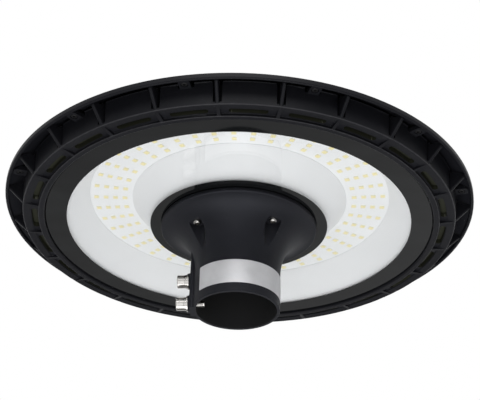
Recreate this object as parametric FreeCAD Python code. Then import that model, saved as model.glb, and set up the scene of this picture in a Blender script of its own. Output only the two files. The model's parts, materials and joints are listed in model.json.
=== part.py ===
import FreeCAD, Part
import math
import os

os.makedirs("parts", exist_ok=True)

# Heights are measured up from the mouth of the pole socket, on the axis of the light.

# Pole socket and flared neck
socket_radius = 39.0
socket_roof = 13.2
entry_relief = 0.5
entry_height = 44.0
tube_wall = 3.4
tube_straight = 39.0
flare_height = 50.0
flange_overlap = 8.3
flange_bevel = 1.0
flange_thickness = 3.2
socket_shoulder = 13.0
neck_core_wall = 4.5
neck_skin = 4.0

# Four screws that hold the neck to the hub
neck_screw_count = 4
neck_screw_offset = 13.5
neck_screw_radius = 2.5
neck_screw_head_radius = 3.8
neck_screw_head_height = 3.4
neck_screw_seat = 12.5
neck_recess_radius = 8.4
neck_screw_reach = 14.0

# Clamp boss and its two socket screws
boss_rise = 3.6
boss_width = 20.0
boss_flare_share = 0.54
boss_round = 3.0
pad_radius = 8.5
pad_height = 1.4
lower_screw_height = 8.6
screw_spacing = 24.5
clamp_radius = 4.0
clamp_length = 20.0
clamp_head_radius = 6.5
clamp_head_height = 8.0
hex_across_flats = 6.0
hex_depth = 3.5
flat_washer_radius = 8.0
flat_washer_thickness = 1.6
spring_washer_radius = 6.8
spring_washer_thickness = 2.2
spring_washer_split = 1.2

# Label band round the tube
label_thickness = 0.4
label_height = 24.7
label_low = 9.3
label_start = -142.5
label_sweep = 150.0

# Annular glass and its black printed borders
glass_gap = 0.8
glass_hub_gap = 2.5
glass_seat_width = 17.0
glass_rim_gap = 1.1
glass_thickness = 4.8
border_thickness = 0.2
inner_border_width = 16.5
window_overlap = 3.9
seal_thickness = 2.7

# Light tray, board and light packages
board_height = 32.8
inner_slope_width = 15.0
outer_slope_width = 19.5
board_thickness = 1.6
pad_thickness = 0.5
package_rings = 4
packages_per_ring = 42
first_ring_inset = 12.4
last_ring_inset = 11.8
package_size = 5.0
package_height = 0.7
package_phase = -1.7
reflector_sheet = 1.0

# Cast housing
hub_radius = 70.0
hub_wall = 6.0
hub_floor = 6.0
ledge_thickness = 3.5
plate_thickness = 5.0
tray_wall = 4.5
tray_outer = 176.5
rim_ring_width = 6.1
rim_ring_drop = 2.3
slot_ring_gap = 0.4
slot_width = 7.2
recess_depth = 1.2
recess_corner = 2.0
slot_depth = 6.0
slot_step = 0.6
slot_end_round = 2.9
slot_share = 0.66
band_width = 8.0
band_rise = 0.5
ridge_width = 1.5
web_step = 0.5
wall_draft = 2.5
wall_height = 23.5
wall_bead = 0.8
wall_bead_height = 0.4
rib_count = 24
rib_thickness = 3.3
rib_reach = 12.3
rib_rise = 15.0
panel_gap = 2.4
panel_gap_lift = 2.6
panel_gap_back = 3.7
panel_edge = 1.2

# Domed top cover
cover_rib_gap = 0.6
cover_shell = 3.0
dome_rise = 66.2
lip_height = 5.3
lip_thickness = 3.3
cover_gasket_thickness = 1.8
cover_screw_count = 12
cover_screw_offset = 5.2
cover_screw_radius = 2.0
cover_screw_head_radius = 3.2
cover_screw_head_height = 2.2
cover_boss_radius = 4.2
lug_thickness = 2.2
lug_drop = 1.3
lug_width = 10.4
lug_lip_gap = 1.6
lug_dome_gap = 0.3
lug_round = 3.0
lug_notch_width = 2.2
lug_notch_depth = 4.2

# Driver, terminal block, leads and cable gland
driver_length = 150.0
driver_width = 70.0
driver_height = 26.0
driver_offset = 50.0
driver_foot = 9.0
driver_screw_radius = 2.0
terminal_length = 40.0
terminal_width = 18.0
terminal_height = 16.0
terminal_offset = 90.0
supply_lead_radius = 3.0
light_lead_radius = 0.9
lead_bend = 6.0
gland_radius = 8.0
gland_hex = 22.0
gland_bore = 5.0

# Clearances
thread_clearance = 0.05
screw_clearance = 0.3
slip = 0.05

# Radii worked out from the sizes above, from the axis outwards
tube_radius = socket_radius + tube_wall
neck_opening = socket_radius - socket_shoulder
neck_screw_circle = socket_radius + neck_screw_offset
boss_face = tube_radius + boss_rise
flange_radius = hub_radius + flange_overlap
glass_inner = hub_radius + glass_hub_gap
window_inner = glass_inner + inner_border_width
board_inner = window_inner + inner_slope_width
board_outer = tray_outer - outer_slope_width
window_outer = tray_outer - window_overlap
glass_outer = tray_outer + glass_seat_width
rim_ring_inner = glass_outer + glass_rim_gap
rim_ring_outer = rim_ring_inner + rim_ring_width
slot_inner = rim_ring_outer + slot_ring_gap
slot_outer = slot_inner + slot_width
band_outer = slot_outer + band_width
wall_outer = band_outer + wall_draft
cover_screw_circle = wall_outer + cover_screw_offset
rib_tip = wall_outer + rib_reach
cover_inner = rib_tip + cover_rib_gap
cover_radius = cover_inner + lip_thickness
dome_radius = (cover_radius ** 2 + dome_rise ** 2) / (2 * dome_rise)
shell_inner = dome_radius - cover_shell
first_ring = board_inner + first_ring_inset
last_ring = board_outer - last_ring_inset
ring_pitch = (last_ring - first_ring) / (package_rings - 1)

# Heights worked out from the sizes above
flare_top = tube_straight + flare_height
flange_low = flare_top + flange_bevel
neck_top = flange_low + flange_thickness
socket_depth = neck_top - socket_roof
boss_height = tube_straight + boss_flare_share * flare_height
glass_low = neck_top + glass_gap
glass_face = glass_low + border_thickness
glass_top = glass_face + glass_thickness
seal_top = glass_top + seal_thickness
neck_gasket_thickness = glass_gap + 1.0
hub_low = neck_top + neck_gasket_thickness
hub_floor_top = hub_low + hub_floor
board_low = glass_low + board_height
board_top = board_low + board_thickness
plate_low = board_top + pad_thickness
plate_top = plate_low + plate_thickness
ledge_top = seal_top + ledge_thickness
wall_top = glass_low + wall_height
bead_low = wall_top - wall_bead_height
cover_land = wall_top + cover_gasket_thickness
lip_low = glass_low + rib_rise
lip_top = lip_low + lip_height
dome_centre = lip_top + dome_rise - dome_radius
lug_top = wall_top - lug_drop
lug_seat = lug_top - lug_thickness
lug_low = lug_seat - cover_screw_head_height
panel_gap_low = glass_low + panel_gap_lift
upper_screw_height = lower_screw_height + screw_spacing
pad_face = boss_face + pad_height
washer_face = pad_face + flat_washer_thickness
head_face = washer_face + spring_washer_thickness


def vec(x, y, z):
    return FreeCAD.Vector(x, y, z)


origin = vec(0, 0, 0)
up = vec(0, 0, 1)


def around(radius, angle, height):
    """Point at a radius and an angle in degrees round the axis."""
    turn = math.radians(angle)
    return vec(radius * math.cos(turn), radius * math.sin(turn), height)


def turned(points):
    """Solid of revolution of a closed outline of radius and height pairs."""
    corners = [vec(radius, 0, height) for radius, height in points]
    wire = Part.makePolygon(corners + corners[:1])
    return Part.Face(wire).revolve(origin, up, 360)


def turned_edges(edges):
    """Solid of revolution of a closed outline of edges."""
    wire = Part.Wire(Part.__sortEdges__(edges))
    return Part.Face(wire).revolve(origin, up, 360)


def line(start, end):
    return Part.makeLine(vec(start[0], 0, start[1]), vec(end[0], 0, end[1]))


def rod(radius, low, high, centre=origin):
    """Upright cylinder between two heights."""
    return Part.makeCylinder(radius, high - low, vec(centre.x, centre.y, low), up)


def ring(inner, outer, low, high):
    return rod(outer, low, high).cut(rod(inner, low - 1, high + 1))


def block(x_size, y_size, low, high, x_middle=0.0, y_middle=0.0):
    corner = vec(x_middle - x_size / 2, y_middle - y_size / 2, low)
    return Part.makeBox(x_size, y_size, high - low, corner)


def hexagon(across_flats, low, high):
    corner_radius = across_flats / math.sqrt(3)
    corners = [around(corner_radius, 60 * side, low) for side in range(6)]
    face = Part.Face(Part.makePolygon(corners + corners[:1]))
    return face.extrude(vec(0, 0, high - low))


def spun(shape, angle):
    """Copy of a shape turned round the axis."""
    copy = shape.copy()
    copy.rotate(origin, up, angle)
    return copy


def repeated(shape, count, first=0.0):
    """Copies of a shape evenly spaced round the axis."""
    return [spun(shape, first + 360.0 * number / count) for number in range(count)]


def round_edges(shape, size, radius, height):
    """Fillet on the full circles of one radius at one height."""
    picked = []
    for edge in shape.Edges:
        if edge.Degenerated or not isinstance(edge.Curve, Part.Circle):
            continue
        same_radius = abs(edge.Curve.Radius - radius) < 0.01
        same_height = abs(edge.Curve.Center.z - height) < 0.01
        if same_radius and same_height:
            picked.append(edge)
    return shape.makeFillet(size, picked)


def dome_height(shell_radius, radius):
    """Height of a dome shell at a distance from the axis."""
    return dome_centre + math.sqrt(shell_radius ** 2 - radius ** 2)


def dome_edge(shell_radius, inner, outer):
    """Arc of a dome shell between two distances from the axis."""
    middle = (inner + outer) / 2
    points = [vec(radius, 0, dome_height(shell_radius, radius)) for radius in (inner, middle, outer)]
    return Part.Arc(*points).toShape()


def save(shape, name):
    shape.exportStep("parts/" + name + ".step")


# Neck: straight tube, flare and flange turned in one piece
flare_width = flange_radius - flange_bevel - tube_radius
flare_centre = flange_radius - flange_bevel


def flare_point(angle):
    turn = math.radians(angle)
    radius = flare_centre - flare_width * math.cos(turn)
    return vec(radius, 0, tube_straight + flare_height * math.sin(turn))


flare_curve = Part.BSplineCurve()
flare_curve.interpolate([flare_point(10.0 * step) for step in range(10)])
entry_radius = socket_radius + entry_relief
neck_edges = [
    line((tube_radius, 0), (tube_radius, tube_straight)),
    flare_curve.toShape(),
    line((flare_centre, flare_top), (flange_radius, flange_low)),
    line((flange_radius, flange_low), (flange_radius, neck_top)),
    line((flange_radius, neck_top), (neck_opening, neck_top)),
    line((neck_opening, neck_top), (neck_opening, socket_depth)),
    line((neck_opening, socket_depth), (socket_radius, socket_depth)),
    line((socket_radius, socket_depth), (socket_radius, entry_height + entry_relief)),
    line((socket_radius, entry_height + entry_relief), (entry_radius, entry_height)),
    line((entry_radius, entry_height), (entry_radius, 0)),
    line((entry_radius, 0), (tube_radius, 0)),
]
neck = turned_edges(neck_edges)

# Boss for the clamp screws, with a round pad under each washer
boss_depth = boss_face - socket_radius + tube_wall
boss = block(boss_depth, boss_width, 0, boss_height, -boss_face + boss_depth / 2)
boss_corners = []
for edge in boss.Edges:
    upright = edge.BoundBox.ZLength > boss_height / 2
    if upright and edge.CenterOfMass.x < -boss_face + 1:
        boss_corners.append(edge)
boss = boss.makeFillet(boss_round, boss_corners)
neck = neck.fuse(boss)
clamp_heights = [upper_screw_height, lower_screw_height]
for height in clamp_heights:
    start = vec(-pad_face, 0, height)
    neck = neck.fuse(Part.makeCylinder(pad_radius, pad_height + boss_round, start, vec(1, 0, 0)))
neck = neck.cut(rod(entry_radius, -1, entry_height))
neck = neck.cut(rod(socket_radius, entry_height - 1, socket_depth))
for height in clamp_heights:
    start = vec(-pad_face - 1, 0, height)
    hole_length = pad_face - socket_radius + 3
    hole = Part.makeCylinder(clamp_radius + thread_clearance, hole_length, start, vec(1, 0, 0))
    neck = neck.cut(hole)

# Cored hollow between the socket wall and the flare, with a post for each neck screw
core_inner = socket_radius + neck_core_wall
core_outer = flare_point(60.0).x
core_outline = [
    (core_inner, flare_point(36.0).z + neck_skin),
    (flare_point(24.0).x, flare_point(36.0).z + neck_skin),
    (flare_point(45.0).x - 1, flare_point(52.0).z + neck_skin),
    (core_outer, flare_point(64.0).z + neck_skin),
    (core_outer, neck_top),
    (core_inner, neck_top),
]
core = turned(core_outline)
seat_height = neck_top - neck_screw_seat
post_spot = around(neck_screw_circle, 45.0, 0)
post = rod(neck_recess_radius + neck_skin - 1, core_outline[0][1] - 1, neck_top + 1, post_spot)
core = core.cut(Part.makeCompound(repeated(post, neck_screw_count)))
neck = neck.cut(core)
recess = rod(neck_recess_radius, tube_straight, seat_height, post_spot)
neck = neck.cut(Part.makeCompound(repeated(recess, neck_screw_count)))
screw_hole = rod(neck_screw_radius + screw_clearance, seat_height - 1, neck_top + 1, post_spot)
neck = neck.cut(Part.makeCompound(repeated(screw_hole, neck_screw_count)))
save(neck, "neck")

# Gasket between the neck and the hub
neck_gasket = ring(neck_opening + 4, hub_radius - 1, neck_top, hub_low)
gasket_hole = rod(neck_screw_radius + screw_clearance + 0.2, neck_top - 1, hub_low + 1, post_spot)
neck_gasket = neck_gasket.cut(Part.makeCompound(repeated(gasket_hole, neck_screw_count)))
save(neck_gasket, "neck_gasket")

# Neck screws, heads down in their recesses
neck_screw = rod(neck_screw_radius, seat_height, hub_low + neck_screw_reach - 1, post_spot)
neck_head_low = seat_height - neck_screw_head_height
neck_head = rod(neck_screw_head_radius, neck_head_low, seat_height, post_spot)
neck_head = round_edges(neck_head, 1.0, neck_screw_head_radius, neck_head_low)
neck_drive = hexagon(4.0, neck_head_low, neck_head_low + 2)
neck_drive.translate(post_spot)
neck_screw = neck_screw.fuse(neck_head.cut(neck_drive))
save(Part.makeCompound(repeated(neck_screw, neck_screw_count)), "neck_screws")

# Blank label band round the front of the tube
label_inner = tube_radius + slip
label = Part.makeCylinder(label_inner + label_thickness, label_height, vec(0, 0, label_low), up, label_sweep)
label = label.cut(rod(label_inner, label_low - 1, label_low + label_height + 1))
save(spun(label, label_start), "label_band")

# Clamp screws with a flat and a spring washer under each head
clamp_names = ["upper", "lower"]
for name, height in zip(clamp_names, clamp_heights):
    inward = vec(1, 0, 0)
    shank = Part.makeCylinder(clamp_radius, clamp_length, vec(-head_face, 0, height), inward)
    tip_edge = [edge for edge in shank.Edges if edge.CenterOfMass.x > -head_face + clamp_length - 0.1]
    shank = shank.makeChamfer(0.8, tip_edge[:1])
    head_outer = vec(-head_face - clamp_head_height, 0, height)
    head = Part.makeCylinder(clamp_head_radius, clamp_head_height, head_outer, inward)
    crown = [edge for edge in head.Edges if edge.CenterOfMass.x < head_outer.x + 0.1]
    head = head.makeFillet(0.8, crown[:1])
    key = hexagon(hex_across_flats, 0, hex_depth)
    key.rotate(origin, vec(0, 1, 0), 90)
    key.translate(head_outer)
    save(head.cut(key).fuse(shank), "clamp_screw_" + name)

    bore_start = vec(-head_face - 1, 0, height)
    bore = Part.makeCylinder(clamp_radius + screw_clearance, pad_face, bore_start, inward)
    flat = Part.makeCylinder(flat_washer_radius, flat_washer_thickness, vec(-washer_face, 0, height), inward)
    save(flat.cut(bore), "flat_washer_" + name)
    spring = Part.makeCylinder(spring_washer_radius, spring_washer_thickness, vec(-head_face, 0, height), inward)
    split = Part.makeBox(spring_washer_thickness * 4, spring_washer_split, spring_washer_radius + 2)
    split.translate(vec(-spring_washer_thickness * 2, -spring_washer_split / 2, 0))
    split.rotate(origin, up, 30)
    split.rotate(origin, inward, 50)
    split.translate(vec(-head_face + spring_washer_thickness / 2, 0, height))
    save(spring.cut(bore).cut(split), "spring_washer_" + name)

# Housing: hub, back plate, tray wall and rim turned in one casting
housing_outline = [
    (0, hub_low),
    (hub_radius, hub_low),
    (hub_radius, seal_top),
    (hub_radius + 2 * hub_wall, seal_top),
    (hub_radius + 2 * hub_wall, ledge_top),
    (hub_radius + 2, ledge_top),
    (hub_radius + 2, plate_low),
    (tray_outer, plate_low),
    (tray_outer, seal_top),
    (rim_ring_inner, seal_top),
    (rim_ring_inner, glass_low - rim_ring_drop),
    (rim_ring_outer, glass_low - rim_ring_drop),
    (rim_ring_outer, glass_low + band_rise),
    (slot_outer, glass_low + band_rise),
    (band_outer - ridge_width, glass_low),
    (band_outer, glass_low),
    (wall_outer - wall_bead, bead_low - wall_bead),
    (wall_outer, bead_low),
    (wall_outer, wall_top),
    (rim_ring_inner, wall_top),
    (rim_ring_inner, ledge_top),
    (tray_outer + tray_wall, ledge_top),
    (tray_outer + tray_wall, plate_top),
    (hub_radius - hub_wall, plate_top),
    (hub_radius - hub_wall, hub_floor_top),
    (0, hub_floor_top),
]
housing = turned(housing_outline)
housing = round_edges(housing, 1.6, rim_ring_inner, glass_low - rim_ring_drop)
housing = round_edges(housing, 0.8, rim_ring_outer, glass_low - rim_ring_drop)
housing = round_edges(housing, 1.0, band_outer, glass_low)

# Recesses in the rim, parted by webs in line with the ribs, with a deep cooling slot in each
recess_top = glass_low + recess_depth
recess_ring = ring(slot_inner, slot_outer, glass_low - 1, recess_top)
web_space = block(slot_outer, rib_thickness, glass_low - 2, recess_top + 1, slot_outer)
recess_ring = recess_ring.cut(Part.makeCompound(repeated(web_space, rib_count)))
recesses = []
for recess in recess_ring.Solids:
    corners = [edge for edge in recess.Edges if edge.BoundBox.ZLength > recess_depth / 2]
    recesses.append(recess.makeFillet(recess_corner, corners))
housing = housing.cut(Part.makeCompound(recesses))
slot_sweep = slot_share * 360.0 / rib_count
slot_low = recess_top - 1
slot_height = slot_depth - recess_depth + 1
slot = Part.makeCylinder(slot_outer - slot_step, slot_height, vec(0, 0, slot_low), up, slot_sweep)
slot = slot.cut(rod(slot_inner + slot_step, slot_low - 1, slot_low + slot_height + 1))
slot_corners = [edge for edge in slot.Edges if edge.BoundBox.ZLength > slot_height / 2]
slot = slot.makeFillet(slot_end_round, slot_corners)
pocket_middle = 180.0 / rib_count
slot_start = pocket_middle - slot_sweep / 2
housing = housing.cut(Part.makeCompound(repeated(slot, rib_count, slot_start)))

# Gaps that part each wall panel from the ribs beside it
panel_root = slot_outer + panel_gap_back
rib_side = rib_thickness / 2
panel_end = rib_side + panel_gap
gap_plan = [
    vec(panel_root, rib_side, panel_gap_low),
    vec(panel_root, panel_end, panel_gap_low),
    vec(wall_outer - panel_edge, panel_end, panel_gap_low),
    vec(wall_outer + panel_edge, panel_end + 2 * panel_edge, panel_gap_low),
    vec(wall_outer + panel_edge, rib_side, panel_gap_low),
]
gap_height = wall_top - panel_gap_low + 1
gap_left = Part.Face(Part.makePolygon(gap_plan + gap_plan[:1])).extrude(vec(0, 0, gap_height))
gap_right = gap_left.mirror(origin, vec(0, 1, 0))
gaps = repeated(gap_left, rib_count) + repeated(gap_right, rib_count)
housing = housing.cut(Part.makeCompound(gaps))

# Ribs from the rim band out to the lip of the cover
rib_root = panel_root - 0.5
rib_low = glass_low + 0.6
rib_corners = [
    vec(rib_root, 0, panel_gap_low - 1),
    vec(band_outer - 1, 0, rib_low),
    vec(band_outer, 0, rib_low),
    vec(rib_tip, 0, lip_low),
    vec(rib_tip, 0, dome_height(shell_inner, rib_tip) - 1),
    vec(wall_outer, 0, wall_top - 2.5),
    vec(rib_root, 0, wall_top - 2.5),
]
rib = Part.Face(Part.makePolygon(rib_corners + rib_corners[:1])).extrude(vec(0, rib_thickness, 0))
rib.translate(vec(0, -rib_side, 0))
rib_nose = []
for edge in rib.Edges:
    sloped = edge.BoundBox.XLength > 5 and edge.BoundBox.ZLength > 5
    if sloped and edge.CenterOfMass.z < lip_low:
        rib_nose.append(edge)
rib = rib.makeFillet(rib_side - 0.3, rib_nose)
housing = housing.fuse(repeated(rib, rib_count))

# Webs between the recesses, sloping down from the ridge to the rim ring
web_outer = band_outer - ridge_width
web_top = recess_top + 1
web_corners = [
    vec(rim_ring_outer - 1, 0, glass_low - rim_ring_drop + web_step),
    vec(web_outer, 0, glass_low),
    vec(web_outer, 0, web_top),
    vec(rim_ring_outer - 1, 0, web_top),
]
web = Part.Face(Part.makePolygon(web_corners + web_corners[:1])).extrude(vec(0, rib_thickness, 0))
web.translate(vec(0, -rib_side, 0))
housing = housing.fuse(repeated(web, rib_count))

# Lugs for the cover screws, in every other pocket, with the heads sunk in them
lug_spot = around(cover_screw_circle, 0, 0)
lug_root = slot_outer + 1
lug_reach = cover_inner - lug_lip_gap - lug_root
lug_first = 3 * pocket_middle
notch_low = wall_top - lug_notch_depth
notch_span = lug_width + 2 * lug_notch_width
notch = block(lug_reach, notch_span, notch_low, wall_top + 1, panel_root + lug_reach / 2)
housing = housing.cut(Part.makeCompound(repeated(notch, cover_screw_count, lug_first)))
lug = block(lug_reach, lug_width, lug_low, lug_top, lug_root + lug_reach / 2)
lug_corners = []
for edge in lug.Edges:
    upright = edge.BoundBox.ZLength > lug_thickness / 2
    if upright and edge.CenterOfMass.x > cover_screw_circle:
        lug_corners.append(edge)
lug = lug.makeFillet(lug_round, lug_corners)
lug = lug.common(Part.makeSphere(shell_inner - lug_dome_gap, vec(0, 0, dome_centre)))
lug = lug.cut(rod(cover_screw_head_radius + screw_clearance, lug_low - 1, lug_seat, lug_spot))
lug = lug.cut(rod(cover_screw_radius + screw_clearance, lug_seat - 1, lug_top + 1, lug_spot))
housing = housing.fuse(repeated(lug, cover_screw_count, lug_first))

# Screw posts in the hub, the gland hole and the holes in the back plate
hub_post = rod(neck_screw_radius + neck_skin, hub_floor_top - 1, hub_low + neck_screw_reach + 1, post_spot)
housing = housing.fuse(repeated(hub_post, neck_screw_count))
tapped = rod(neck_screw_radius + thread_clearance, hub_low - 1, hub_low + neck_screw_reach - 0.5, post_spot)
housing = housing.cut(Part.makeCompound(repeated(tapped, neck_screw_count)))
housing = housing.cut(rod(gland_radius + thread_clearance, hub_low - 1, hub_floor_top + 1))
foot_x = driver_length / 2 + driver_foot / 2
foot_y = driver_width / 5
foot_spots = []
for side in (-1, 1):
    for row in (-1, 1):
        foot_spots.append(vec(side * foot_x, driver_offset + row * foot_y, 0))
driver_screw_low = plate_low + 1
for spot in foot_spots:
    housing = housing.cut(rod(driver_screw_radius + thread_clearance, driver_screw_low - 0.5, plate_top + 1, spot))
terminal_spots = [vec(side * terminal_length * 0.36, -terminal_offset, 0) for side in (-1, 1)]
terminal_screw_radius = 1.5
for spot in terminal_spots:
    housing = housing.cut(rod(terminal_screw_radius + thread_clearance, driver_screw_low - 0.5, plate_top + 1, spot))
lead_circle = board_inner - 9
lead_spot = around(lead_circle, -49.0, 0)
grommet_radius = 4.0
housing = housing.cut(rod(grommet_radius + slip, plate_low - 1, plate_top + 1, lead_spot))
save(housing, "housing")

# Glass with a printed border at each edge of its lower face, bedded on two seals
save(ring(glass_inner, glass_outer, glass_face, glass_top), "glass_lens")
save(ring(window_outer, glass_outer - slip, glass_low, glass_face), "outer_glass_border")
save(ring(glass_inner + slip, window_inner, glass_low, glass_face), "inner_glass_border")
save(ring(tray_outer + 1.5, glass_outer - 1.5, glass_top, seal_top), "outer_glass_seal")
save(ring(glass_inner + 0.5, hub_radius + 2 * hub_wall - 1, glass_top, seal_top), "inner_glass_seal")

# White reflector cones on each side of the board
reflector_low = glass_top + 0.4
outer_foot = tray_outer - 0.5
outer_cone = [
    (board_outer - 5.5, board_low),
    (board_outer, board_low),
    (board_outer, board_low - reflector_sheet),
    (board_outer - 2.5, board_low - reflector_sheet),
    (outer_foot, reflector_low + reflector_sheet),
    (outer_foot, reflector_low),
    (outer_foot - 2, reflector_low),
    (board_outer - 5.5, board_low - reflector_sheet),
]
save(turned(outer_cone), "outer_reflector")
inner_foot = hub_radius + 2 * hub_wall + 2.2
inner_cone = [
    (board_inner - 0.5, board_low),
    (board_inner + 4.5, board_low),
    (board_inner + 4.5, board_low - reflector_sheet),
    (inner_foot + 2, reflector_low),
    (inner_foot, reflector_low),
    (inner_foot, reflector_low + reflector_sheet),
    (board_inner + 1.2, board_low - reflector_sheet),
    (board_inner - 0.5, board_low - reflector_sheet),
]
save(turned(inner_cone), "inner_reflector")

# Light board on its thermal pad, with rings of small square packages
save(ring(board_inner, board_outer, board_low, board_top), "led_board")
save(ring(board_inner, board_outer, board_top, plate_low), "thermal_pad")
packages = []
for number in range(package_rings):
    middle = first_ring + ring_pitch * number
    package = block(package_size, package_size, board_low - package_height, board_low, middle)
    packages.extend(repeated(package, packages_per_ring, package_phase))
save(Part.makeCompound(packages), "led_packages")

# Domed cover with a rolled lip, a gasket land and screw bosses
land_inner = slot_inner + 1.5
land_outer = slot_outer - 0.8
cover_edges = [
    dome_edge(dome_radius, 0, cover_radius),
    line((cover_radius, lip_top), (cover_radius, lip_low)),
    line((cover_radius, lip_low), (cover_inner, lip_low)),
    line((cover_inner, lip_low), (cover_inner, dome_height(shell_inner, cover_inner))),
    dome_edge(shell_inner, land_outer, cover_inner),
    line((land_outer, dome_height(shell_inner, land_outer)), (land_outer, cover_land)),
    line((land_outer, cover_land), (land_inner, cover_land)),
    line((land_inner, cover_land), (land_inner, dome_height(shell_inner, land_inner))),
    dome_edge(shell_inner, 0, land_inner),
    line((0, dome_height(shell_inner, 0)), (0, dome_height(dome_radius, 0))),
]
top_cover = turned_edges(cover_edges)
top_cover = round_edges(top_cover, 1.5, cover_radius, lip_top)
top_cover = round_edges(top_cover, 1.5, cover_radius, lip_low)
top_cover = round_edges(top_cover, 1.2, cover_inner, lip_low)
boss_limit = Part.makeSphere(dome_radius - 1, vec(0, 0, dome_centre))
cover_boss = rod(cover_boss_radius, lug_top, lug_top + 4 * cover_shell, lug_spot).common(boss_limit)
top_cover = top_cover.fuse(repeated(cover_boss, cover_screw_count, lug_first))
cover_screw_top = dome_height(shell_inner, cover_screw_circle) + cover_shell / 2
cover_tapped = rod(cover_screw_radius + thread_clearance, lug_top - 1, cover_screw_top + 0.5, lug_spot)
top_cover = top_cover.cut(Part.makeCompound(repeated(cover_tapped, cover_screw_count, lug_first)))
save(top_cover, "top_cover")
save(ring(land_inner + 0.5, land_outer - 0.5, wall_top, cover_land), "cover_gasket")

# Cover screws, driven up through the lugs
cover_head = rod(cover_screw_head_radius, lug_low, lug_seat, lug_spot)
cover_head = round_edges(cover_head, 0.8, cover_screw_head_radius, lug_low)
cover_drive = hexagon(2.5, lug_low, lug_low + 1.4)
cover_drive.translate(lug_spot)
cover_screw = cover_head.cut(cover_drive).fuse(rod(cover_screw_radius, lug_seat, cover_screw_top, lug_spot))
save(Part.makeCompound(repeated(cover_screw, cover_screw_count, lug_first)), "cover_screws")

# Driver across the open hub, on two feet
driver = block(driver_length, driver_width, plate_top, plate_top + driver_height, 0, driver_offset)
driver_corners = [edge for edge in driver.Edges if edge.BoundBox.ZLength > driver_height / 2]
driver = driver.makeFillet(4.0, driver_corners)
foot_thickness = 2.0
foot_length = driver_length + 2 * driver_foot
foot_width = driver_width * 0.6
driver = driver.fuse(block(foot_length, foot_width, plate_top, plate_top + foot_thickness, 0, driver_offset))
for spot in foot_spots:
    driver = driver.cut(rod(driver_screw_radius + screw_clearance, plate_top - 1, plate_top + foot_thickness + 1, spot))
save(driver, "driver")
driver_screws = []
for spot in foot_spots:
    foot_top = plate_top + foot_thickness
    shank = rod(driver_screw_radius, driver_screw_low, foot_top, spot)
    driver_screws.append(shank.fuse(rod(2 * driver_screw_radius, foot_top, foot_top + 2.4, spot)))
save(Part.makeCompound(driver_screws), "driver_screws")

# Terminal block with three wire wells and two fixing screws
terminal_top = plate_top + terminal_height
terminal = block(terminal_length, terminal_width, plate_top, terminal_top, 0, -terminal_offset)
for number in (-1, 0, 1):
    well = vec(number * terminal_length * 0.18, -terminal_offset - terminal_width * 0.25, 0)
    terminal = terminal.cut(rod(2.2, terminal_top - 6, terminal_top + 1, well))
terminal_seat = plate_top + 4
for spot in terminal_spots:
    terminal = terminal.cut(rod(2 * terminal_screw_radius + 0.5, terminal_seat, terminal_top + 1, spot))
    terminal = terminal.cut(rod(terminal_screw_radius + screw_clearance, plate_top - 1, terminal_seat + 1, spot))
save(terminal, "terminal_block")
terminal_screws = []
for spot in terminal_spots:
    shank = rod(terminal_screw_radius, driver_screw_low, terminal_seat, spot)
    terminal_screws.append(shank.fuse(rod(2 * terminal_screw_radius, terminal_seat, terminal_seat + 2, spot)))
save(Part.makeCompound(terminal_screws), "terminal_screws")

# Supply lead from the terminal block to the driver
lead_height = plate_top + terminal_height / 2
lead_from = -terminal_offset + terminal_width / 2
lead_to = driver_offset - driver_width / 2
supply_start = vec(0, lead_from, lead_height)
save(Part.makeCylinder(supply_lead_radius, lead_to - lead_from, supply_start, vec(0, 1, 0)), "supply_lead")

# Light lead from the driver, down through its grommet to the edge of the board
grommet_top = plate_top + 2
lead_low = (board_top + board_low) / 2 + light_lead_radius / 4
drop_top = vec(lead_spot.x, lead_spot.y, lead_height)
drop_low = vec(lead_spot.x, lead_spot.y, lead_low)
bend_start = drop_top + vec(0, lead_bend, 0)
bend_end = drop_top - vec(0, 0, lead_bend)
corner_pull = lead_bend * (1 - math.sqrt(0.5))
bend_middle = drop_top + vec(0, corner_pull, -corner_pull)
lead_path = Part.Wire([
    Part.makeLine(vec(lead_spot.x, lead_to, lead_height), bend_start),
    Part.Arc(bend_start, bend_middle, bend_end).toShape(),
    Part.makeLine(bend_end, drop_low),
])
lead_section = Part.Wire(Part.makeCircle(light_lead_radius, vec(lead_spot.x, lead_to, lead_height), vec(0, 1, 0)))
light_lead = lead_path.makePipeShell([lead_section], True, True)
outward = vec(lead_spot.x, lead_spot.y, 0).normalize()
tail_length = board_inner - lead_circle - slip
light_lead = light_lead.fuse(Part.makeCylinder(light_lead_radius, tail_length, drop_low, outward))
light_lead = light_lead.fuse(Part.makeSphere(light_lead_radius, drop_low))
save(light_lead, "light_lead")
grommet = rod(grommet_radius, plate_low, plate_top, lead_spot)
grommet = grommet.fuse(rod(grommet_radius + 2, plate_top, grommet_top, lead_spot))
grommet = grommet.cut(rod(light_lead_radius + screw_clearance, plate_low - 1, grommet_top + 1, lead_spot))
save(grommet, "lead_grommet")

# Cable gland through the hub floor, with its lock nut
gland_low = socket_depth + 3
gland = hexagon(gland_hex, hub_low - 6, hub_low)
gland = gland.fuse(rod(gland_hex * 0.42, gland_low, hub_low - 6))
gland = gland.fuse(rod(gland_radius, hub_low, hub_floor_top + 5))
gland = gland.cut(rod(gland_bore, gland_low - 1, hub_floor_top + 6))
save(gland, "cable_gland")
nut = hexagon(gland_hex, hub_floor_top, hub_floor_top + 4)
nut = nut.cut(rod(gland_radius + thread_clearance, hub_floor_top - 1, hub_floor_top + 5))
save(nut, "gland_nut")
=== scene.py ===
import json
import math

import bmesh
import bpy
from bpy.props import FloatProperty, FloatVectorProperty, IntProperty, PointerProperty
from bpy.types import Operator, Panel, PropertyGroup
from mathutils import Matrix, Vector


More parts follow.
